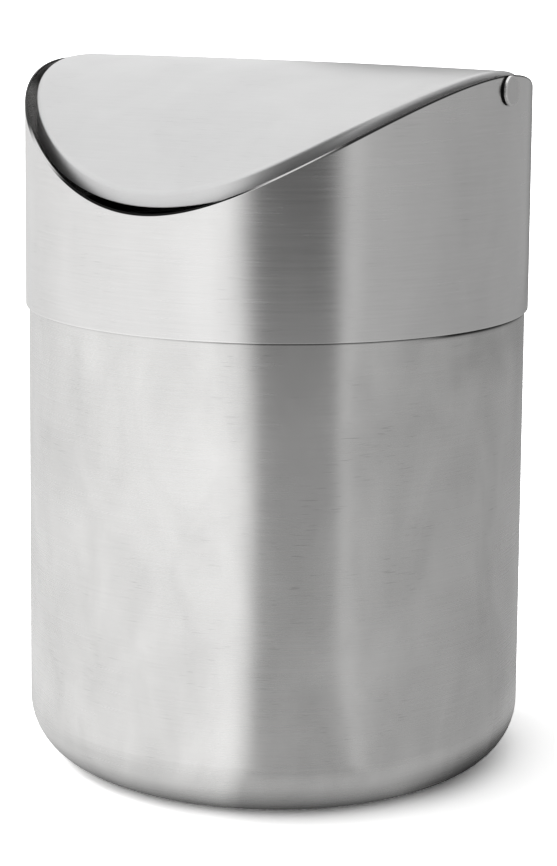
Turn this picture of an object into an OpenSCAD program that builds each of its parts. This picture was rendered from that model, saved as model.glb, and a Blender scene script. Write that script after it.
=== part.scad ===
// Countertop bin with a swing lid: a deep-drawn steel bucket, a lift-off steel
// collar with an arched mouth, and an arched lid that swings on two rivets.
// Millimetres. +Z is up, the origin is the middle of the base, and X runs
// along the pivots.

/* [Overall] */
// Outside diameter of the collar
collar_d = 120; // [112:1:124]
// Height of the collar's rim at its highest, beside the pivots
rim_top_z = 165.5; // [161:0.5:178]
// Height of the seam, where the collar ends over the bucket
seam_z = 109; // [98:0.5:114]
// Thickness of the steel sheet
sheet = 0.5; // [0.4:0.05:0.6]

/* [Bucket] */
// Sliding gap between the bucket's wall and the collar around it
slide_gap = 0.3; // [0.25:0.05:0.5]
// How far the bucket's wall reaches up inside the collar
overlap = 14.5; // [12:0.5:16]
// Outside radius of the drawn corner between wall and base
corner_r = 13.5; // [10:0.5:20]
// Outside radius of the curl rolled inward along the bucket's rim
curl_r = 1.5; // [1.3:0.1:1.8]
// Width of the flat ring that the bucket stands on
foot_w = 6; // [4:1:8]
// Height of the raised middle of the base
recess_h = 2.4; // [1.6:0.2:3.2]

/* [Collar] */
// Radius of the arch that the collar's rim follows, seen along the pivots
arch_r = 75; // [72:1:90]
// Height of the seat ring's upright against the collar
seat_upright_h = 7; // [5:0.5:9]
// Depth of the seat ring's skirt inside the bucket's mouth
seat_skirt_h = 8.5; // [6:0.5:10]
// Thickness of the seat ring's walls
seat_wall = 1.6; // [1.3:0.1:2]

/* [Lid] */
// Gap between the lid's flange and the inside of the collar
lid_gap = 2.3; // [2:0.1:2.8]
// How far the lid's arch stands above the rim's
lid_rise = 1.2; // [1:0.1:1.5]
// Extra height of the panel in the middle, between the pivots
lid_crown = 0.4; // [0:0.1:0.6]
// Outside radius of the bend between panel and flange
bend_r = 1.4; // [1:0.1:1.6]
// Depth of the flange at the front and back
flange_h = 3; // [2.5:0.1:3.5]
// Radius of the arch that the flange's lower edge follows
flange_arch_r = 90; // [85:1:100]

/* [Pivots] */
// Depth of the pivots' centre below the top of the rim
pivot_drop = 3.4; // [3.2:0.1:3.8]
// Radius of a rivet's head
head_r = 3.4; // [3.2:0.1:3.8]
// How far a rivet's head stands proud of the collar
head_h = 1.1; // [0.9:0.1:1.6]
// Height of the narrower neck under a rivet's head
neck_h = 0.4; // [0.2:0.05:0.5]
// Radius of a rivet's shank
shank_r = 1.7; // [1.5:0.05:1.8]
// Radial clearance of the shank in the lid's flange
running_gap = 0.08; // [0.05:0.01:0.1]
// End play between the flange and the washers beside it
end_play = 0.25; // [0.2:0.05:0.3]

/* [Hidden] */
$fn = 128;
fine_fn = 48;
cut = 1;

// Bucket
collar_r = collar_d / 2;
collar_in_r = collar_r - sheet;
bucket_r = collar_in_r - slide_gap;
bucket_top_z = seam_z + overlap;
foot_out_r = bucket_r - corner_r;
foot_in_r = foot_out_r - foot_w;

// Arches of the rim, of the lid's panel and of the flange's lower edge, each
// round an axis along X
arch_axis_z = rim_top_z - arch_r;
lid_axis_z = arch_axis_z + lid_rise;
lid_r = collar_in_r - lid_gap;
lid_front_z = lid_axis_z + sqrt(arch_r * arch_r - lid_r * lid_r);
flange_axis_z = lid_front_z - flange_h - sqrt(flange_arch_r * flange_arch_r - lid_r * lid_r);

// Pivots. The backing washers stay below the panel, which turns round them.
pivot_z = rim_top_z - pivot_drop;
hole_gap = 0.05;
panel_clear = pivot_drop + lid_rise - lid_crown - sheet;
backing_gap = 0.7;
backing_r = panel_clear - backing_gap;
backing_t = 0.75;
washer_r = pivot_drop - 0.1;
spacer_out_x = sqrt(collar_in_r * collar_in_r - washer_r * washer_r);
spacer_in_x = lid_r + end_play;
flange_in_x = sqrt(pow(lid_r - sheet, 2) - backing_r * backing_r);
backing_out_x = flange_in_x - end_play;
backing_in_x = backing_out_x - backing_t;
tail_r = backing_r - 0.2;
tail_h = 0.9;
head_round = 0.3;
neck_r = head_r - 0.6;

// Seat ring, which rests on the curl of the bucket
seat_rest_gap = 0.1;
seat_z = bucket_top_z + seat_rest_gap;
skirt_out_r = bucket_r - 2 * curl_r - 0.5;
skirt_in_r = skirt_out_r - seat_wall;
seat_round = 0.6;

// Lid mesh: profiles round the lid, and stations along each profile
lid_steps = 120;
lid_crowding = 0.5;
panel_stations = 7;
bend_stations = 5;

// The wall, corner and base of the bucket as one filled outline, drawn in by
// inset from the outside of the sheet.
module bucket_outline(inset) {
    r = bucket_r - inset;
    translate([0, corner_r])
        square([r, bucket_top_z - curl_r - corner_r]);
    translate([0, inset])
        square([foot_out_r, corner_r]);
    intersection() {
        translate([foot_out_r, corner_r])
            circle(r = corner_r - inset);
        translate([foot_out_r - cut, inset])
            square([corner_r + cut, corner_r]);
    }
}

// The hollow under the raised base: two equal arcs make its S-shaped edge.
// grow is 0 for the underside and the sheet's thickness for the inside.
module base_recess(grow) {
    bend = recess_h / 2;
    top_bend_x = foot_in_r - 2 * bend;
    square([top_bend_x, recess_h + grow]);
    intersection() {
        translate([top_bend_x, bend])
            circle(r = bend + grow, $fn = fine_fn);
        translate([top_bend_x - cut, bend])
            square([3 * bend, 3 * bend]);
    }
    difference() {
        translate([top_bend_x - cut, -cut])
            square([2 * bend + cut, bend + cut]);
        translate([foot_in_r, bend])
            circle(r = bend - grow, $fn = fine_fn);
    }
}

// The sheet rolled three quarters of a turn inward along the rim
module rim_curl() {
    translate([bucket_r - curl_r, bucket_top_z - curl_r])
        difference() {
            circle(r = curl_r, $fn = fine_fn);
            circle(r = curl_r - sheet, $fn = fine_fn);
            translate([0, -2 * curl_r])
                square([2 * curl_r, 2 * curl_r]);
        }
}

module bucket() {
    color("silver")
        rotate_extrude() {
            difference() {
                bucket_outline(0);
                base_recess(0);
                difference() {
                    bucket_outline(sheet);
                    base_recess(sheet);
                }
            }
            rim_curl();
        }
}

// A bore along X through both pivots
module pivot_bore(r) {
    translate([0, 0, pivot_z])
        rotate([0, 90, 0])
            cylinder(r = r, h = 3 * collar_r, center = true, $fn = fine_fn);
}

// The collar is a tube whose top is cut by the arch.
module collar() {
    color("silver")
        difference() {
            intersection() {
                translate([0, 0, seam_z])
                    difference() {
                        cylinder(r = collar_r, h = rim_top_z - seam_z + cut);
                        translate([0, 0, -cut])
                            cylinder(r = collar_in_r, h = rim_top_z);
                    }
                translate([0, 0, arch_axis_z])
                    rotate([0, 90, 0])
                        cylinder(r = arch_r, h = 3 * collar_r, center = true);
            }
            pivot_bore(shank_r + hole_gap);
        }
}

// A ring pressed into the collar. Its ledge rests on the bucket's curl and
// its skirt centres the collar in the bucket's mouth.
module seat_ring() {
    skirt_z = seat_z - seat_skirt_h;
    ledge_z = seat_z + seat_wall;
    color("dimgray")
        rotate_extrude() {
            translate([collar_in_r - seat_wall, seat_z])
                square([seat_wall, seat_upright_h - seat_round]);
            translate([collar_in_r - seat_wall + seat_round, seat_z])
                square([seat_wall - seat_round, seat_upright_h]);
            translate([
                collar_in_r - seat_wall + seat_round,
                seat_z + seat_upright_h - seat_round
            ])
                circle(r = seat_round, $fn = fine_fn);
            translate([skirt_in_r + seat_round, seat_z])
                square([collar_in_r - skirt_in_r - seat_wall, seat_wall]);
            translate([skirt_in_r, skirt_z + seat_round])
                square([seat_wall, ledge_z - skirt_z - 2 * seat_round]);
            translate([skirt_in_r + seat_round, skirt_z])
                square([seat_wall - 2 * seat_round, ledge_z - skirt_z]);
            for (corner = [
                [skirt_in_r + seat_round, skirt_z + seat_round],
                [skirt_out_r - seat_round, skirt_z + seat_round],
                [skirt_in_r + seat_round, ledge_z - seat_round]
            ])
                translate(corner)
                    circle(r = seat_round, $fn = fine_fn);
        }
}

// The lid's sheet is described by a profile in the vertical plane at each
// azimuth: the arched panel, a bend, then a flange straight down, which is
// deepest at the pivots.

// Azimuth of profile i, closer together towards the pivots
function profile_azimuth(i) =
    let (u = 360 * i / lid_steps)
    u - lid_crowding * sin(2 * u) * 90 / PI;

// Height of the panel's outer face at a point in plan
function panel_z(x, y) =
    lid_axis_z + sqrt(arch_r * arch_r - y * y) - lid_crown * pow(x / lid_r, 2);

// Downward slope of the panel, as an angle, going outward along azimuth a
function panel_slope(r, a) =
    let (x = r * cos(a), y = r * sin(a))
    atan(
        y * sin(a) / sqrt(arch_r * arch_r - y * y)
        + 2 * lid_crown * x * cos(a) / (lid_r * lid_r)
    );

// Height of the flange's lower edge at azimuth a
function flange_edge_z(a) =
    flange_axis_z + sqrt(pow(flange_arch_r, 2) - pow(lid_r * sin(a), 2));

// Points [radius, height] of one profile, from the middle out to the flange's
// edge. depth is 0 on the outer face and the sheet's thickness on the inner.
function lid_profile(a, depth) =
    let (
        slope = panel_slope(lid_r - bend_r / 2, a),
        bend_in_r = lid_r - bend_r,
        panel_end_r = bend_in_r + bend_r * sin(slope),
        bend_z = panel_z(panel_end_r * cos(a), panel_end_r * sin(a))
            - bend_r * cos(slope)
    )
    concat(
        [
            for (k = [1:panel_stations])
                let (
                    r = panel_end_r * k / (panel_stations + 1),
                    lean = panel_slope(r, a)
                )
                [
                    r - depth * sin(lean),
                    panel_z(r * cos(a), r * sin(a)) - depth * cos(lean)
                ]
        ],
        [
            for (k = [0:bend_stations])
                let (t = slope + (90 - slope) * k / bend_stations)
                [
                    bend_in_r + (bend_r - depth) * sin(t),
                    bend_z + (bend_r - depth) * cos(t)
                ]
        ],
        [[lid_r - depth, flange_edge_z(a)]]
    );

// The closed skin of the lid: rings out along the outer face and back along
// the inner one, with a point in the middle of each.
module lid_sheet() {
    azimuths = [for (i = [0:lid_steps - 1]) profile_azimuth(i)];
    outer = [for (a = azimuths) lid_profile(a, 0)];
    inner = [for (a = azimuths) lid_profile(a, sheet)];
    stations = len(outer[0]);
    rings = 2 * stations;
    ring_points = [
        for (k = [0:rings - 1])
            for (i = [0:lid_steps - 1])
                let (
                    p = k < stations ? outer[i][k] : inner[i][rings - 1 - k],
                    a = azimuths[i]
                )
                [p[0] * cos(a), p[0] * sin(a), p[1]]
    ];
    outer_middle = len(ring_points);
    inner_middle = outer_middle + 1;
    middles = [[0, 0, panel_z(0, 0)], [0, 0, panel_z(0, 0) - sheet]];
    last_ring = (rings - 1) * lid_steps;
    skin = [
        for (k = [0:rings - 2])
            for (i = [0:lid_steps - 1])
                let (
                    next = (i + 1) % lid_steps,
                    a = k * lid_steps + i,
                    b = k * lid_steps + next,
                    c = a + lid_steps,
                    d = b + lid_steps
                )
                each [[a, b, d], [a, d, c]]
    ];
    caps = [
        for (i = [0:lid_steps - 1])
            let (next = (i + 1) % lid_steps)
            each [
                [outer_middle, next, i],
                [inner_middle, last_ring + i, last_ring + next]
            ]
    ];
    polyhedron(points = concat(ring_points, middles), faces = concat(skin, caps));
}

module lid() {
    color("gainsboro")
        difference() {
            lid_sheet();
            pivot_bore(shank_r + running_gap);
        }
}

// A piece drawn with its axis along +Z from the pivots' middle, turned to lie
// along the right or left pivot
module on_pivot(side) {
    translate([0, 0, pivot_z])
        rotate([0, 90 * side, 0])
            children();
}

// The rivet's outline: a flat head on a short neck outside the collar, the
// shank through collar, spacer, flange and washer, and the peened tail inside.
module pivot_rivet(side) {
    tail_z = backing_in_x;
    head_z = collar_r + neck_h;
    top_z = collar_r + head_h;
    color("lightgray")
        on_pivot(side)
            rotate_extrude($fn = fine_fn) {
                translate([0, head_z])
                    square([head_r - head_round, top_z - head_z]);
                translate([0, head_z])
                    square([head_r, top_z - head_z - head_round]);
                translate([head_r - head_round, top_z - head_round])
                    circle(r = head_round, $fn = fine_fn);
                translate([0, collar_r])
                    square([neck_r, neck_h + head_round]);
                translate([0, tail_z - tail_h])
                    square([shank_r, collar_r - tail_z + tail_h + head_round]);
                translate([0, tail_z - tail_h])
                    square([tail_r - tail_h, tail_h]);
                intersection() {
                    translate([tail_r - tail_h, tail_z])
                        circle(r = tail_h, $fn = fine_fn);
                    translate([0, tail_z - tail_h])
                        square([tail_r, tail_h]);
                }
            }
}

module washer(side, z0, z1, r) {
    on_pivot(side)
        translate([0, 0, z0])
            difference() {
                cylinder(r = r, h = z1 - z0, $fn = fine_fn);
                translate([0, 0, -cut])
                    cylinder(r = shank_r + hole_gap, h = z1 - z0 + 2 * cut, $fn = fine_fn);
            }
}

module spacer(side) {
    color("whitesmoke")
        washer(side, spacer_in_x, spacer_out_x, washer_r);
}

module backing_washer(side) {
    color("lightgray")
        washer(side, backing_in_x, backing_out_x, backing_r);
}

bucket();
collar();
seat_ring();
lid();
pivot_rivet(-1);  // left_pivot_rivet
pivot_rivet(1);  // right_pivot_rivet
spacer(-1);  // left_spacer
spacer(1);  // right_spacer
backing_washer(-1);  // left_backing_washer
backing_washer(1);  // right_backing_washer
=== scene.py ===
"""Looks for the countertop bin with a swing lid: fine sheet-metal pieces and
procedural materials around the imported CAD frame. Metres, +Z up, pivots along X."""
import functools
import math

import bpy
import numpy as np
from mathutils import Matrix, Vector


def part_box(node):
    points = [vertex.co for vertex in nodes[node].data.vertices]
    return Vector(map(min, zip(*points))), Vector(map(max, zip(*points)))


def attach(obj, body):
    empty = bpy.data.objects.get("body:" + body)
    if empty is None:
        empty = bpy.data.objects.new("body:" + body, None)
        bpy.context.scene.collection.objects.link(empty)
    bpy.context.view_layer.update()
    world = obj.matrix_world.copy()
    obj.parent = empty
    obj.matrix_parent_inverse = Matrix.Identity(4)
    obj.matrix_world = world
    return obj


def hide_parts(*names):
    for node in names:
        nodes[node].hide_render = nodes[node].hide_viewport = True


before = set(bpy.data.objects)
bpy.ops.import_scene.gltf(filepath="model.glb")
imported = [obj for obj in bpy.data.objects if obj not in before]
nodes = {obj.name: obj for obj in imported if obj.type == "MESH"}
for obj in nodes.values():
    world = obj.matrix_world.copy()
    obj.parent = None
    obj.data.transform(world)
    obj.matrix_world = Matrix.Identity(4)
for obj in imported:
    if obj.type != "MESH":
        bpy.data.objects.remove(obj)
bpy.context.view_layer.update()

# ---------------------------------------------------------------- sizes, in metres
# The collar and the lid have the CAD's shape. What its boxes don't give is
# repeated here as in the CAD's source.
MM = 0.001
bucket_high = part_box("bucket")[1]
collar_low, collar_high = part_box("collar")
lid_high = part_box("lid")[1]
rivet_low, rivet_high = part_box("right_pivot_rivet")
SHEET = 0.5 * MM
BUCKET_R = bucket_high.x
COLLAR_R = collar_high.x
COLLAR_IN_R = COLLAR_R - SHEET
SEAM_Z = collar_low.z
RIM_TOP_Z = collar_high.z
ARCH_R = 75 * MM
ARCH_AXIS_Z = RIM_TOP_Z - ARCH_R
LID_R = lid_high.x
LID_CROWN = 0.4 * MM
LID_PROUD = 1.2 * MM
LID_AXIS_Z = ARCH_AXIS_Z + LID_PROUD
BEND_R = 1.4 * MM
FLANGE_H = 3 * MM
FLANGE_ARCH_R = 90 * MM
FLANGE_AXIS_Z = (
    LID_AXIS_Z + math.sqrt(ARCH_R**2 - LID_R**2) - FLANGE_H
    - math.sqrt(FLANGE_ARCH_R**2 - LID_R**2)
)
PIVOT_Z = (rivet_low.z + rivet_high.z) / 2
HEAD_R = (rivet_high.z - rivet_low.z) / 2
NECK_H = 0.4 * MM
SHANK_R = 1.7 * MM
COLLAR_BORE_R = SHANK_R + 0.05 * MM
LID_BORE_R = SHANK_R + 0.08 * MM


# ---------------------------------------------------------------- meshes
def make_piece(name, verts, faces, edge=None):
    """A new object. edge gives each vertex its edge wear, from 0 to 1."""
    mesh = bpy.data.meshes.new(name)
    mesh.from_pydata([tuple(v) for v in verts], [], faces)
    if edge is not None:
        wear = mesh.attributes.new("edge_wear", "FLOAT", "POINT")
        wear.data.foreach_set("value", np.array(edge, np.float32))
    mesh.validate()
    mesh.update()
    piece = bpy.data.objects.new(name, mesh)
    bpy.context.scene.collection.objects.link(piece)
    return piece


def smooth(piece, degrees=35):
    """Smooth shading, with a sharp edge where faces meet at more than an angle."""
    for polygon in piece.data.polygons:
        polygon.use_smooth = True
    piece.data.set_sharp_from_angle(angle=math.radians(degrees))


def bored(piece, radius):
    """Cuts the pivots' bore along X right through a piece."""
    steps, reach = 48, 70 * MM
    verts = []
    for x in (-reach, reach):
        for i in range(steps):
            t = 2 * math.pi * (i + 0.5) / steps
            verts.append((x, radius * math.cos(t), PIVOT_Z + radius * math.sin(t)))
    faces = [(steps + i, steps + (i + 1) % steps, (i + 1) % steps, i) for i in range(steps)]
    faces.append(tuple(range(steps)))
    faces.append(tuple(reversed(range(steps, 2 * steps))))
    cutter = make_piece("bore_cutter", verts, faces)
    cut = piece.modifiers.new("bore", "BOOLEAN")
    cut.operation = "DIFFERENCE"
    cut.solver = "EXACT"
    cut.object = cutter
    graph = bpy.context.evaluated_depsgraph_get()
    result = bpy.data.meshes.new_from_object(piece.evaluated_get(graph))
    piece.modifiers.remove(cut)
    piece.data = result
    bpy.data.objects.remove(cutter)


def rounded(points, radii, segments, support):
    """A closed outline with each corner rounded, and a supporting point on
    both sides of each rounding, so that smooth shading stays local."""
    out = []
    for i in range(len(points)):
        p, radius = np.array(points[i], float), radii[i]
        to_last = np.array(points[i - 1], float) - p
        to_next = np.array(points[(i + 1) % len(points)], float) - p
        to_last /= np.linalg.norm(to_last)
        to_next /= np.linalg.norm(to_next)
        half = math.acos(max(-1.0, min(1.0, float(to_last @ to_next)))) / 2
        reach = radius / math.tan(half)
        bisector = to_last + to_next
        centre = p + bisector / np.linalg.norm(bisector) * radius / math.sin(half)
        start, end = p + to_last * reach, p + to_next * reach
        a0 = math.atan2(*(start - centre)[::-1])
        a1 = math.atan2(*(end - centre)[::-1])
        turn = (a1 - a0 + math.pi) % (2 * math.pi) - math.pi
        out.append(p + to_last * (reach + support))
        for k in range(segments + 1):
            t = a0 + turn * k / segments
            out.append(centre + radius * np.array([math.cos(t), math.sin(t)]))
        out.append(p + to_next * (reach + support))
    return out


def stood_up(outline, a):
    """(radius, height) points as places in the upright plane at angle a."""
    return [(r * math.cos(a), r * math.sin(a), z) for r, z in outline]


def rim_z(y):
    """Height of the arch that the collar's rim follows."""
    return ARCH_AXIS_Z + math.sqrt(ARCH_R**2 - y * y)


def make_collar():
    """The collar's sheet. Its rim is rounded more than its lower edge, and both
    are worn."""
    steps, segments, support = 360, 3, 0.08 * MM
    low_round, rim_round, margin = 0.04 * MM, 0.08 * MM, 0.01 * MM
    loops, edge = [], []
    for i in range(steps):
        a = 2 * math.pi * i / steps
        corners = [
            (COLLAR_R, SEAM_Z),
            (COLLAR_R, rim_z(COLLAR_R * math.sin(a))),
            (COLLAR_IN_R, rim_z(COLLAR_IN_R * math.sin(a))),
            (COLLAR_IN_R, SEAM_Z),
        ]
        outline = rounded(corners, (low_round, rim_round, rim_round, low_round), segments, support)
        loops.append(stood_up(outline, a))
        edge += [float(COLLAR_IN_R < r - margin and r + margin < COLLAR_R) for r, _ in outline]
    size = len(loops[0])
    faces = []
    for i in range(steps):
        a, b = i * size, ((i + 1) % steps) * size
        for k in range(size):
            n = (k + 1) % size
            faces.append((a + k, b + k, b + n, a + n))
    piece = make_piece("collar_sheet", [v for loop in loops for v in loop], faces, edge)
    bored(piece, COLLAR_BORE_R)
    smooth(piece)
    return piece


def panel_z(x, y):
    """Height of the lid's panel, arched along Y and crowned along X."""
    return LID_AXIS_Z + math.sqrt(ARCH_R**2 - y * y) - LID_CROWN * (x / LID_R) ** 2


def panel_slope(r, a):
    """How steeply the panel falls outwards at radius r and angle a."""
    x, y = r * math.cos(a), r * math.sin(a)
    return math.atan(
        y * math.sin(a) / math.sqrt(ARCH_R**2 - y * y)
        + 2 * LID_CROWN * x * math.cos(a) / LID_R**2
    )


def flange_edge_z(a):
    return FLANGE_AXIS_Z + math.sqrt(FLANGE_ARCH_R**2 - (LID_R * math.sin(a)) ** 2)


def lid_outline(a, depth):
    """(radius, height) points from the middle out to just above the flange's
    edge, on the outer face (depth 0) or the inner one."""
    panel_steps, bend_steps, flange_steps = 22, 8, 4
    # The panel's and the flange's points keep off the bend by a part of a step.
    short_of_bend, start_of_flange = 0.25, 0.8
    above_edge = 0.2 * MM
    slope = panel_slope(LID_R - BEND_R / 2, a)
    bend_in_r = LID_R - BEND_R
    panel_end = bend_in_r + BEND_R * math.sin(slope)
    bend_z = panel_z(panel_end * math.cos(a), panel_end * math.sin(a)) - BEND_R * math.cos(slope)
    points = []
    for k in range(1, panel_steps + 1):
        r = panel_end * k / (panel_steps + short_of_bend)
        lean = panel_slope(r, a)
        points.append((
            r - depth * math.sin(lean),
            panel_z(r * math.cos(a), r * math.sin(a)) - depth * math.cos(lean),
        ))
    bend_r = BEND_R - depth
    for k in range(bend_steps + 1):
        t = slope + (math.pi / 2 - slope) * k / bend_steps
        points.append((bend_in_r + bend_r * math.sin(t), bend_z + bend_r * math.cos(t)))
    high = points[-1][1]
    low = flange_edge_z(a) + above_edge
    span = flange_steps - start_of_flange
    for k in range(1, flange_steps + 1):
        points.append((LID_R - depth, high + (low - high) * (k - start_of_flange) / span))
    return points


def make_lid():
    """The lid's sheet, with the flange's edge rounded and worn. Its stations are
    closer together at the pivots."""
    steps, crowding = 288, 0.25
    lip_steps, lip_r = 3, 0.12 * MM
    lip_turns = [math.pi / 2 * k / lip_steps for k in range(lip_steps + 1)]
    inner_r = LID_R - SHEET
    loops, edge = [], []
    for i in range(steps):
        u = 2 * math.pi * i / steps
        a = u - crowding * math.sin(2 * u)
        outer, inner = lid_outline(a, 0.0), lid_outline(a, SHEET)
        lip_z = flange_edge_z(a) + lip_r
        lip = [
            (LID_R - lip_r + lip_r * math.cos(t), lip_z - lip_r * math.sin(t)) for t in lip_turns
        ] + [
            (inner_r + lip_r - lip_r * math.sin(t), lip_z - lip_r * math.cos(t)) for t in lip_turns
        ]
        loops.append(stood_up(outer + lip + inner[::-1], a))
        edge += [0.0] * len(outer) + [1.0] * len(lip) + [0.0] * len(inner)
    size = len(loops[0])
    verts = [v for loop in loops for v in loop]
    top, under = len(verts), len(verts) + 1
    verts += [(0, 0, panel_z(0, 0)), (0, 0, panel_z(0, 0) - SHEET)]
    edge += [0.0, 0.0]
    starts = [(i * size, ((i + 1) % steps) * size) for i in range(steps)]
    faces = [(a + k, a + k + 1, b + k + 1, b + k) for a, b in starts for k in range(size - 1)]
    for a, b in starts:
        faces += [(top, a, b), (under, b + size - 1, a + size - 1)]
    piece = make_piece("lid_sheet", verts, faces, edge)
    bored(piece, LID_BORE_R)
    smooth(piece)
    return piece


# ---------------------------------------------------------------- shader nodes
UNIT = (0, 1)
FALLING = (1, 0)
MOST_NOISE = (0.3, 0.7)  # the range that most of a noise field lies in
SMOOTH = "SMOOTHSTEP"


def emptied(owner):
    """The node tree of a material or a world, without nodes."""
    owner.use_nodes = True
    owner.node_tree.nodes.clear()
    return owner.node_tree


def feed(tree, node, inputs):
    """Gives a node's inputs, by name or number, a constant or a link."""
    for key, value in inputs.items():
        if isinstance(value, bpy.types.NodeSocket):
            tree.links.new(value, node.inputs[key])
        else:
            node.inputs[key].default_value = value


def add(tree, kind, inputs=None, **settings):
    """A new node with its settings and what its inputs get."""
    node = tree.nodes.new(kind)
    for key, value in settings.items():
        setattr(node, key, value)
    feed(tree, node, inputs or {})
    return node


def object_coordinates(tree):
    return add(tree, "ShaderNodeTexCoord").outputs["Object"]


def separated(tree, vector):
    """The parts X, Y and Z of a vector."""
    return add(tree, "ShaderNodeSeparateXYZ", {"Vector": vector}).outputs


def noise(tree, coordinates, scale, detail, rough, seed=(0, 0, 0), distortion=0.0):
    """A noise field over object coordinates. scale says how many waves it has in a
    metre along each axis."""
    mapping = add(tree, "ShaderNodeMapping", {
        "Vector": coordinates,
        "Scale": scale,
        "Location": seed,
    })
    texture = add(tree, "ShaderNodeTexNoise", {
        "Vector": mapping.outputs["Vector"],
        "Scale": 1.0,
        "Detail": detail,
        "Roughness": rough,
        "Distortion": distortion,
    })
    return texture.outputs["Fac"]


def around(middle, swing):
    """A range by its middle and how far it goes to each side."""
    return middle - swing, middle + swing


def spread(tree, value, source, target, curve="LINEAR"):
    """value carried from the range source to the range target, and held there."""
    node = add(tree, "ShaderNodeMapRange", {
        "Value": value,
        "From Min": source[0],
        "From Max": source[1],
        "To Min": target[0],
        "To Max": target[1],
    }, interpolation_type=curve)
    return node.outputs["Result"]


def stops(tree, value, source, levels):
    """Grey levels by value, between stops given as (value, level) over the range
    source."""
    low, high = source
    node = add(tree, "ShaderNodeValToRGB", {"Fac": spread(tree, value, source, UNIT)})
    elements = node.color_ramp.elements
    while len(elements) > 1:
        elements.remove(elements[-1])
    for i, (at, level) in enumerate(levels):
        place = (at - low) / (high - low)
        stop = elements[0] if i == 0 else elements.new(place)
        stop.position = place
        stop.color = (level, level, level, 1)
    return node.outputs["Color"]


def mixed(tree, factor, first, second, **settings):
    """What a Mix node makes of two values. Its sockets are found by type, because
    it has an A and a B for each type of value."""
    node = add(tree, "ShaderNodeMix", {"Factor": factor}, **settings)
    ends = [
        i for i, socket in enumerate(node.inputs)
        if socket.type == node.data_type and socket.name in ("A", "B")
    ]
    feed(tree, node, dict(zip(ends, (first, second))))
    return next(socket for socket in node.outputs if socket.type == node.data_type)


def tinted(tree, factor, colour):
    """colour times a grey factor."""
    return mixed(tree, 1.0, (*colour, 1.0), factor, data_type="RGBA", blend_type="MULTIPLY")


def bumped(tree, height, strength, distance):
    bump = {"Height": height, "Strength": strength, "Distance": distance}
    return add(tree, "ShaderNodeBump", bump).outputs["Normal"]


def maths(tree, operation, first, second=0):
    """One operation on one or two values, which are numbers or sockets."""
    return add(tree, "ShaderNodeMath", {0: first, 1: second}, operation=operation).outputs["Value"]


def chained(tree, operation, values):
    """The values joined by one operation, from first to last."""
    return functools.reduce(lambda so_far, value: maths(tree, operation, so_far, value), values)


def product(tree, *factors):
    return chained(tree, "MULTIPLY", factors)


def total(tree, *terms):
    return chained(tree, "ADD", terms)


def largest(tree, *values):
    return chained(tree, "MAXIMUM", values)


def minus(tree, first, second):
    return maths(tree, "SUBTRACT", first, second)


def magnitude(tree, value):
    return maths(tree, "ABSOLUTE", value)


def after_losses(tree, kept, *losses):
    """kept, lowered by each loss in turn. A loss is a share from 0 to 1."""
    return product(tree, kept, *(minus(tree, 1, loss) for loss in losses))


def hypotenuse(tree, first, second):
    squares = total(tree, maths(tree, "POWER", first, 2), maths(tree, "POWER", second, 2))
    return maths(tree, "SQRT", squares)


def from_axis(tree, parts):
    """Distance from the bin's axis."""
    return hypotenuse(tree, parts["X"], parts["Y"])


def from_line(tree, parts, z):
    """Distance from the line along X at height z."""
    return hypotenuse(tree, parts["Y"], minus(tree, parts["Z"], z))


# ---------------------------------------------------------------- materials
def principled(name):
    """A new material, its node tree and its shader."""
    material = bpy.data.materials.new(name)
    tree = emptied(material)
    shader = add(tree, "ShaderNodeBsdfPrincipled")
    add(tree, "ShaderNodeOutputMaterial", {"Surface": shader.outputs["BSDF"]})
    return material, tree, shader


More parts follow.
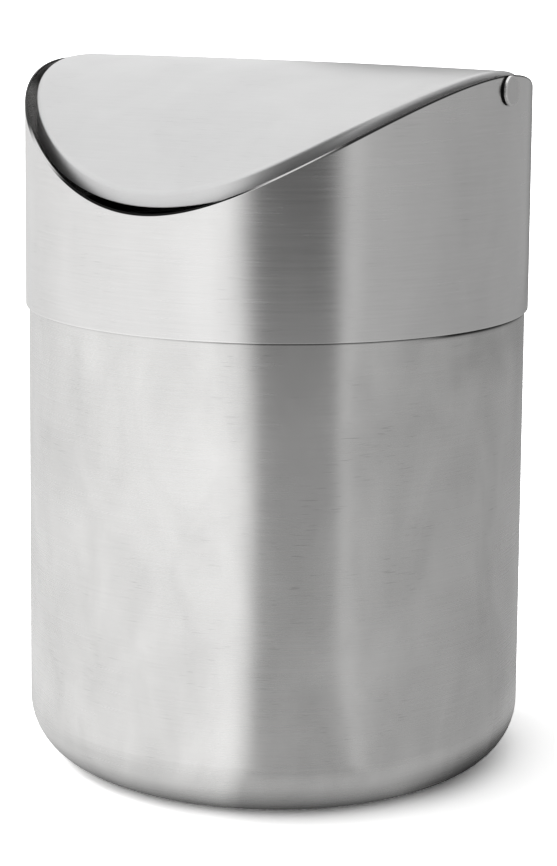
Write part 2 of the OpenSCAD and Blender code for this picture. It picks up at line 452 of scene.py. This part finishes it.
def brushed_steel(name, colour, roughness, along, streaks, aniso, handled, detail=None):
    """Brushed stainless sheet. along is "Z" for grain round the wall, or "X"
    for straight grain along the pivots. streaks is the grain's strength, and
    handled that of the cloudy marks that hands leave. detail(tree, coordinates)
    gives a factor for the tone and a term for the roughness."""
    material, tree, shader = principled(name)
    coordinates = object_coordinates(tree)

    def stretched(length, width):
        """The noise scale of streaks of a length and width in millimetres."""
        slow, fast = 1 / (length * MM), 1 / (width * MM)
        return (slow, slow, fast) if along == "Z" else (slow, fast, fast)

    grain = noise(tree, coordinates, stretched(30, 0.55), detail=5, rough=0.62)
    fine = noise(tree, coordinates, stretched(7, 0.16), detail=3, rough=0.6, seed=(3, 5, 7))
    marks = noise(tree, coordinates, stretched(4.5, 0.3), detail=1, rough=0.4, seed=(11, 2, 5))
    cloud = noise(tree, coordinates, (26, 26, 17), detail=3, rough=0.55, seed=(1, 9, 4))
    smudge = noise(
        tree, coordinates, (75, 75, 42), detail=3, rough=0.5, seed=(6, 3, 2), distortion=0.4
    )
    wear = add(tree, "ShaderNodeAttribute", attribute_name="edge_wear").outputs["Fac"]
    scratch = product(
        tree,
        spread(tree, marks, (0.65, 0.75), UNIT, SMOOTH),
        spread(tree, smudge, (0.5, 0.62), (0.15, 1)),
    )
    tone = product(
        tree,
        spread(tree, grain, MOST_NOISE, around(1, 0.035 * streaks)),
        spread(tree, fine, MOST_NOISE, around(1, 0.03 * streaks)),
        spread(tree, scratch, UNIT, (1, 0.97 - 0.13 * handled)),
        spread(tree, cloud, MOST_NOISE, (1 - 0.05 * handled, 1 + 0.03 * handled)),
        spread(tree, smudge, MOST_NOISE, (1 + 0.06 * handled, 1 - 0.09 * handled)),
        spread(tree, wear, UNIT, (1, 0.92)),
    )
    rough = total(
        tree,
        spread(tree, grain, MOST_NOISE, around(0, 0.035)),
        roughness,
        spread(tree, cloud, MOST_NOISE, (-0.03, 0.04)),
        product(tree, wear, 0.15),
    )
    if detail:
        tone_factor, rough_term = detail(tree, coordinates)
        tone = product(tree, tone, tone_factor)
        rough = total(tree, rough, rough_term)
    height = minus(
        tree,
        total(tree, product(tree, grain, 0.6), product(tree, fine, 0.4)),
        product(tree, scratch, 0.4),
    )
    tangent = add(tree, "ShaderNodeTangent", direction_type="RADIAL", axis=along)
    feed(tree, shader, {
        "Base Color": tinted(tree, tone, colour),
        "Metallic": 1.0,
        "Roughness": rough,
        "Normal": bumped(tree, height, strength=0.25, distance=0.02 * MM),
        "Tangent": tangent.outputs["Tangent"],
        "Anisotropic": aniso,
        "Anisotropic Rotation": 0.25 if along == "Z" else 0.0,
    })
    return material


def seam_painted_shade(tree, coordinates):
    """Painted shade on the bucket's outside: a dark line round it where the collar's edge rests,
    and below it a little painted shade and a soft painted shade patch under the collar's
    overhang. The line grows stronger towards the right, and is bold and lower at its end.
    The other two are only there."""
    outer_face = (BUCKET_R - 0.3 * MM, BUCKET_R - 0.1 * MM)
    bold_middle = 0.25 * MM
    parts = separated(tree, coordinates)
    x = parts["X"]
    below = minus(tree, SEAM_Z, parts["Z"])
    outside = spread(tree, from_axis(tree, parts), outer_face, UNIT)
    thin = product(
        tree,
        spread(tree, x, (0, 35 * MM), (0.15, 0.8), SMOOTH),
        spread(tree, magnitude(tree, below), (0.25 * MM, 0.6 * MM), FALLING),
    )
    from_bold_middle = magnitude(tree, minus(tree, below, bold_middle))
    bold = product(
        tree,
        spread(tree, x, (52 * MM, 56.5 * MM), (0, 0.93), SMOOTH),
        spread(tree, from_bold_middle, (0.3 * MM, 0.75 * MM), FALLING),
    )
    # Painted shade: the line, the shade below it and the patch each darken the bucket's tone.
    line = product(tree, outside, largest(tree, thin, bold))
    at_right = product(tree, outside, spread(tree, x, (48 * MM, 57 * MM), UNIT, SMOOTH))
    shade = product(tree, at_right, spread(tree, below, (0.4 * MM, 1.6 * MM), (0.3, 0)))
    blotch = noise(tree, coordinates, (45, 45, 90), detail=2, rough=0.5, seed=(2, 7, 1))
    shade_patch = product(
        tree,
        at_right,
        spread(tree, below, (1 * MM, 18 * MM), (0.15, 0), SMOOTH),
        spread(tree, blotch, (0.35, 0.6), (0.3, 1.2)),
    )
    return after_losses(tree, 1, line, shade, shade_patch), 0


def collar_painted_light(tree, coordinates):
    """Painted shade round the rivets' heads and on the cut rim: on the top edge where the
    mouth is high, and where it is low on all that lies inside the outer corner.
    The lower edge gets a painted highlight."""
    outer_corner = (COLLAR_R - 0.06 * MM, COLLAR_R - 0.02 * MM)
    top_edge = (ARCH_R - 0.45 * MM, ARCH_R - 0.25 * MM)
    round_head = (HEAD_R + 0.05 * MM, HEAD_R + 0.35 * MM)
    lower_edge = (SEAM_Z + 0.1 * MM, SEAM_Z + 0.4 * MM)
    parts = separated(tree, coordinates)
    sideways = magnitude(tree, parts["Y"])
    inside = spread(tree, from_axis(tree, parts), outer_corner, FALLING)
    low_rim = spread(tree, sideways, (51.5 * MM, 55.5 * MM), (0, 0.985), SMOOTH)
    top = spread(tree, from_line(tree, parts, ARCH_AXIS_Z), top_edge, UNIT)
    high_rim = spread(tree, sideways, (42 * MM, 48 * MM), (0.95, 0), SMOOTH)
    ring = spread(tree, from_line(tree, parts, PIVOT_Z), round_head, (0.25, 0))
    # Painted highlight on the lower edge, and painted shade on the rim and round the heads.
    painted_highlight = spread(tree, parts["Z"], lower_edge, (1.12, 1))
    painted_shades = product(tree, inside, low_rim), product(tree, top, high_rim), ring
    return after_losses(tree, painted_highlight, *painted_shades), 0


def flange_share(tree, parts):
    """0 on the lid's panel and 1 on its flange."""
    return spread(tree, from_axis(tree, parts), (LID_R - 0.8 * MM, LID_R - 0.2 * MM), UNIT)


def flange_painted_sheen(tree, coordinates):
    """The lid's flange is painted a little brighter than the panel, as a painted highlight, and is
    rougher.
    """
    share = flange_share(tree, separated(tree, coordinates))
    return spread(tree, share, UNIT, (0.98, 1.05)), product(tree, share, 0.08)


def brush_flange_round(material):
    """Turns the tangent upright on the lid's flange, so that the grain runs round
    it, and makes the grain's stretch of highlights stronger there."""
    tree = material.node_tree
    shader = next(n for n in tree.nodes if n.type == "BSDF_PRINCIPLED")
    share = flange_share(tree, separated(tree, object_coordinates(tree)))
    on_panel = shader.inputs["Tangent"].links[0].from_socket
    upright = add(
        tree, "ShaderNodeVectorTransform", {"Vector": (0, 0, 1)},
        vector_type="VECTOR", convert_from="OBJECT", convert_to="WORLD",
    ).outputs["Vector"]
    panel_aniso, flange_aniso = shader.inputs["Anisotropic"].default_value, 0.85
    feed(tree, shader, {
        "Tangent": mixed(tree, share, on_panel, upright, data_type="VECTOR"),
        "Anisotropic": spread(tree, share, UNIT, (panel_aniso, flange_aniso)),
    })


def rivet_painted_light(tree, coordinates):
    """The neck under a rivet's head is painted dark as shade, and the head's rounded edge
    is polished and carries a painted highlight."""
    half_neck = NECK_H / 2
    neck_end = (half_neck, half_neck + 0.05 * MM)
    head_edge = (HEAD_R - 0.4 * MM, HEAD_R - 0.15 * MM)
    parts = separated(tree, coordinates)
    from_neck = magnitude(tree, minus(tree, magnitude(tree, parts["X"]), COLLAR_R + half_neck))
    painted_groove_shade = spread(tree, from_neck, neck_end, (0.12, 1))
    edge = spread(tree, from_line(tree, parts, PIVOT_Z), head_edge, UNIT)
    # Painted shade in the groove and a painted highlight on the edge scale the tone; the edge's
    # lower roughness is polish.
    return product(tree, painted_groove_shade, spread(tree, edge, UNIT, (1, 1.2))), product(tree, edge, -0.12)


def moulded_plastic(name, colour, roughness):
    """Matte moulded plastic with a fine spark-eroded texture."""
    material, tree, shader = principled(name)
    coordinates = object_coordinates(tree)
    grit = noise(tree, coordinates, (2600, 2600, 2600), detail=3, rough=0.6)
    cloud = noise(tree, coordinates, (90, 90, 90), detail=2, rough=0.5, seed=(4, 1, 8))
    tone = product(
        tree,
        spread(tree, grit, MOST_NOISE, around(1, 0.12)),
        spread(tree, cloud, MOST_NOISE, around(1, 0.08)),
    )
    feed(tree, shader, {
        "Base Color": tinted(tree, tone, colour),
        "Roughness": total(tree, spread(tree, cloud, MOST_NOISE, around(0, 0.05)), roughness),
        "Normal": bumped(tree, grit, strength=0.3, distance=0.03 * MM),
        "IOR": 1.49,
    })
    return material


def dress(piece, material):
    """Gives an object its material without changing its mesh's own."""
    if not piece.material_slots:
        piece.data.materials.append(None)
    for material_slot in piece.material_slots:
        material_slot.link = "OBJECT"
        material_slot.material = material


steel_wall = brushed_steel(
    "bucket_brushed", (0.735, 0.73, 0.722), roughness=0.26, along="Z",
    streaks=0.5, aniso=0.7, handled=1.0, detail=seam_painted_shade,
)
steel_collar = brushed_steel(
    "collar_brushed", (0.745, 0.74, 0.735), roughness=0.23, along="Z",
    streaks=0.6, aniso=0.6, handled=0.4, detail=collar_painted_light,
)
steel_lid = brushed_steel(
    "lid_brushed", (0.7, 0.7, 0.7), roughness=0.34, along="X",
    streaks=0.5, aniso=0.4, handled=0.3, detail=flange_painted_sheen,
)
brush_flange_round(steel_lid)
steel_rivet, steel_washer = (
    brushed_steel(
        name, (0.7, 0.695, 0.69), roughness=0.3, along="X",
        streaks=0.4, aniso=0.0, handled=0.3, detail=detail,
    )
    for name, detail in (("rivet_satin", rivet_painted_light), ("washer_satin", None))
)
seat_plastic = moulded_plastic("seat_moulded", (0.03, 0.03, 0.03), roughness=0.55)
spacer_plastic = moulded_plastic("spacer_moulded", (0.05, 0.05, 0.05), roughness=0.4)

collar = make_collar()
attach(collar, "cover")
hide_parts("collar")
dress(collar, steel_collar)

lid = make_lid()
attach(lid, "lid")
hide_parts("lid")
dress(lid, steel_lid)

dress(nodes["bucket"], steel_wall)
dress(nodes["seat_ring"], seat_plastic)
for side in ("left", "right"):
    dress(nodes[side + "_pivot_rivet"], steel_rivet)
    dress(nodes[side + "_backing_washer"], steel_washer)
    dress(nodes[side + "_spacer"], spacer_plastic)

# ---------------------------------------------------------------- stage
CAMERA_AZIMUTH = math.radians(30.443)
WHITE = (1, 1, 1, 1)
FLOOR_HALF = 6.0
FLOOR_WHITE = 0.95
FLOOR_WHITE_SEEN = 2.25
SKY_LEVEL = 0.7
SKY_LEAN = 0.8

# Brightness that the steel reflects, by angle from the camera's direction
# (degrees, positive to the right of the picture): softboxes, a dark gap
# between them and a grey side.
SURROUND = [
    (-180, 0.9), (-172, 0.85), (-160, 0.68), (-131, 0.84), (-108, 0.92), (-78, 1.02),
    (-45, 0.98), (-29, 1.08), (-19, 1.06), (-14.5, 0.8), (-9.5, 0.28), (-6.5, 0.1),
    (-1, 0.1), (4, 0.125), (18, 0.13), (21.5, 0.24), (25, 0.56), (28, 0.66), (34, 0.5),
    (42, 0.49), (56, 0.46), (76, 0.42), (102, 0.41), (135, 0.4), (152, 0.16), (174, 0.12),
    (180, 0.9),
]
# The least level by height on the wall and by distance on the floor.
LEAST_BY_HEIGHT = [(0.02, 0.41), (0.07, 0.33), (0.083, 0.31), (0.093, 0.2), (0.12, 0.12)]
LEAST_BY_DISTANCE = [(0.07, 0.64), (0.098, 0.0)]
# The painted shadow in the cards' light on the floor: the shade that the object throws on the
# floor, by distance. The key light comes from the left, so the painted shadow reaches further to
# the right.
CONTACT_PAINTED_SHADOW = [
    (0.048, 0.02), (0.052, 0.16), (0.056, 0.46), (0.062, 0.76), (0.072, 0.8), (0.09, 0.94),
    (0.1, 1.0),
]
SHADE_SIDE_Y = 0.03
SHADE_SIDE_REACH = 0.33
# Low down, where the bucket reflects it, the dark gap's left edge stands further
# right, while its right edge stays where it is.
GAP_RIGHT_EDGE = math.radians(20)
LOW_GAP_Z = (0.075, 0.095)
LOW_GAP_SQUEEZE = math.radians(11)
BOWL_R = 0.2
BOWL_FLOOR_Z = 0.0004
BOWL_FRONT_Z = 0.42
BOWL_BACK_Z = 0.19
BOWL_BACK_RIGHT_Z = 0.25


def stage_floor():
    """A floor that is white for the eye and keeps its shadow, and is an ordinary
    white for the light that it throws back."""
    s = FLOOR_HALF
    floor = make_piece("floor", [(-s, -s, 0), (s, -s, 0), (s, s, 0), (-s, s, 0)], [(0, 1, 2, 3)])
    material = bpy.data.materials.new("floor_white")
    tree = emptied(material)
    seen = add(tree, "ShaderNodeLightPath").outputs["Is Camera Ray"]
    white = spread(tree, seen, UNIT, (FLOOR_WHITE, FLOOR_WHITE_SEEN))
    diffuse = add(tree, "ShaderNodeBsdfDiffuse", {"Color": white})
    add(tree, "ShaderNodeOutputMaterial", {"Surface": diffuse.outputs["BSDF"]})
    dress(floor, material)


def surround_mesh():
    """A floor disc with a wall round it, lower behind the object than before it.
    The camera's direction is its +X."""
    steps = 180
    rise_from, rise_over, right_from = -0.85, 0.5, 0.02
    verts = [(0, 0, BOWL_FLOOR_Z)]
    faces = []
    for level in ("floor", "rim"):
        for i in range(steps):
            t = 2 * math.pi * i / steps
            front = max(0.0, min(1.0, (math.cos(t) - rise_from) / rise_over))
            back = BOWL_BACK_RIGHT_Z if math.sin(t) > right_from else BOWL_BACK_Z
            z = BOWL_FLOOR_Z if level == "floor" else back + (BOWL_FRONT_Z - back) * front
            verts.append((BOWL_R * math.cos(t), BOWL_R * math.sin(t), z))
    for i in range(steps):
        n = (i + 1) % steps
        faces.append((0, 1 + i, 1 + n))
        faces.append((1 + i, 1 + steps + i, 1 + steps + n, 1 + n))
    return make_piece("surround_bowl", verts, faces)


def stage_surround():
    """Cards round the object and on the floor, seen only in reflections."""
    bowl = surround_mesh()
    bowl.rotation_euler = (0, 0, CAMERA_AZIMUTH - math.pi / 2)
    material = bpy.data.materials.new("surround_light")
    tree = emptied(material)
    coordinates = object_coordinates(tree)
    parts = separated(tree, coordinates)

    angle = maths(tree, "ARCTAN2", parts["Y"], parts["X"])
    squeeze = spread(tree, parts["Z"], LOW_GAP_Z, (LOW_GAP_SQUEEZE, 0))
    from_edge = maths(tree, "SINE", minus(tree, angle, GAP_RIGHT_EDGE))
    angle = total(tree, angle, product(tree, squeeze, from_edge))
    cards = [(math.radians(degrees), level) for degrees, level in SURROUND]
    level = stops(tree, angle, (-math.pi, math.pi), cards)

    away = add(tree, "ShaderNodeVectorMath", {0: coordinates}, operation="LENGTH").outputs["Value"]
    to_right = largest(tree, minus(tree, parts["Y"], SHADE_SIDE_Y), 0)
    near = maths(tree, "LESS_THAN", away, BOWL_R / 2)
    away = minus(tree, away, product(tree, to_right, near, SHADE_SIDE_REACH))
    reach = (0, BOWL_R)
    level = largest(
        tree,
        level,
        stops(tree, parts["Z"], reach, LEAST_BY_HEIGHT),
        stops(tree, away, reach, LEAST_BY_DISTANCE),
    )
    # Painted shadow: the cards' light is lowered close round the object.
    level = product(tree, level, stops(tree, away, reach, CONTACT_PAINTED_SHADOW))
    light = add(tree, "ShaderNodeEmission", {"Color": level})
    add(tree, "ShaderNodeOutputMaterial", {"Surface": light.outputs["Emission"]})
    dress(bowl, material)
    for ray in ("camera", "diffuse", "transmission", "volume_scatter", "shadow"):
        setattr(bowl, "visible_" + ray, False)


def light_the_world():
    """A white backdrop for the eye and for reflections, and a soft sky that is
    brighter on the left of the picture."""
    world = bpy.data.worlds.new("studio")
    bpy.context.scene.world = world
    tree = emptied(world)
    ray = add(tree, "ShaderNodeLightPath").outputs
    seen = largest(tree, ray["Is Camera Ray"], ray["Is Glossy Ray"], ray["Is Transmission Ray"])
    generated = add(tree, "ShaderNodeTexCoord").outputs["Generated"]
    right = (math.cos(CAMERA_AZIMUTH), math.sin(CAMERA_AZIMUTH), 0)
    to_right = add(tree, "ShaderNodeVectorMath", {0: generated, 1: right}, operation="DOT_PRODUCT")
    levels = (SKY_LEVEL * (1 + SKY_LEAN), SKY_LEVEL * (1 - SKY_LEAN))
    sky_level = spread(tree, to_right.outputs["Value"], (-1, 1), levels)
    sky = add(tree, "ShaderNodeBackground", {"Color": WHITE, "Strength": sky_level})
    backdrop = add(tree, "ShaderNodeBackground", {"Color": WHITE, "Strength": 1.0})
    mix = add(tree, "ShaderNodeMixShader", {
        "Fac": seen,
        1: sky.outputs["Background"],
        2: backdrop.outputs["Background"],
    })
    add(tree, "ShaderNodeOutputWorld", {"Surface": mix.outputs["Shader"]})


def add_sun(name, azimuth, elevation, strength, angle):
    """A sun at an azimuth and elevation in degrees, which reflections don't show."""
    lamp = bpy.data.lights.new(name, "SUN")
    lamp.energy = strength
    lamp.angle = math.radians(angle)
    sun = bpy.data.objects.new(name, lamp)
    bpy.context.scene.collection.objects.link(sun)
    a, e = math.radians(azimuth), math.radians(elevation)
    towards = Vector((math.sin(a) * math.cos(e), -math.cos(a) * math.cos(e), math.sin(e)))
    sun.rotation_mode = "QUATERNION"
    sun.rotation_quaternion = towards.to_track_quat("Z", "Y")
    sun.visible_glossy = False


def turned(first, second, angle):
    """Two axes at right angles, turned from the first towards the second."""
    c, s = math.cos(angle), math.sin(angle)
    return c * first + s * second, c * second - s * first


def add_camera():
    """The photograph's camera, fitted to the seam, the rim and the outline."""
    distance, height, focal_px, shift = 0.570, 0.198639, 2400.922, -0.22
    pitch, yaw, roll = math.radians(7.546), math.radians(0.025), math.radians(0.507)
    frame_w, frame_h, sensor = 557, 866, 36.0
    a = CAMERA_AZIMUTH
    ahead, right = turned(
        Vector((-math.sin(a), math.cos(a), 0)), Vector((math.cos(a), math.sin(a), 0)), yaw
    )
    look = math.cos(pitch) * ahead - Vector((0, 0, math.sin(pitch)))
    right, up = turned(right, right.cross(look), roll)
    data = bpy.data.cameras.new("camera")
    data.sensor_width = sensor
    data.lens = focal_px * sensor / max(frame_w, frame_h)
    data.shift_y = shift
    data.clip_start, data.clip_end = 0.02, 50
    camera = bpy.data.objects.new("camera", data)
    bpy.context.scene.collection.objects.link(camera)
    place = Vector((distance * math.sin(a), -distance * math.cos(a), height))
    camera.matrix_world = Matrix((
        (right.x, up.x, -look.x, place.x),
        (right.y, up.y, -look.y, place.y),
        (right.z, up.z, -look.z, place.z),
        (0, 0, 0, 1),
    ))
    bpy.context.scene.camera = camera


stage_floor()
stage_surround()
light_the_world()
add_sun("key", azimuth=-75, elevation=56, strength=1.1, angle=35)
add_camera()
bpy.context.scene.view_settings.view_transform = "Standard"
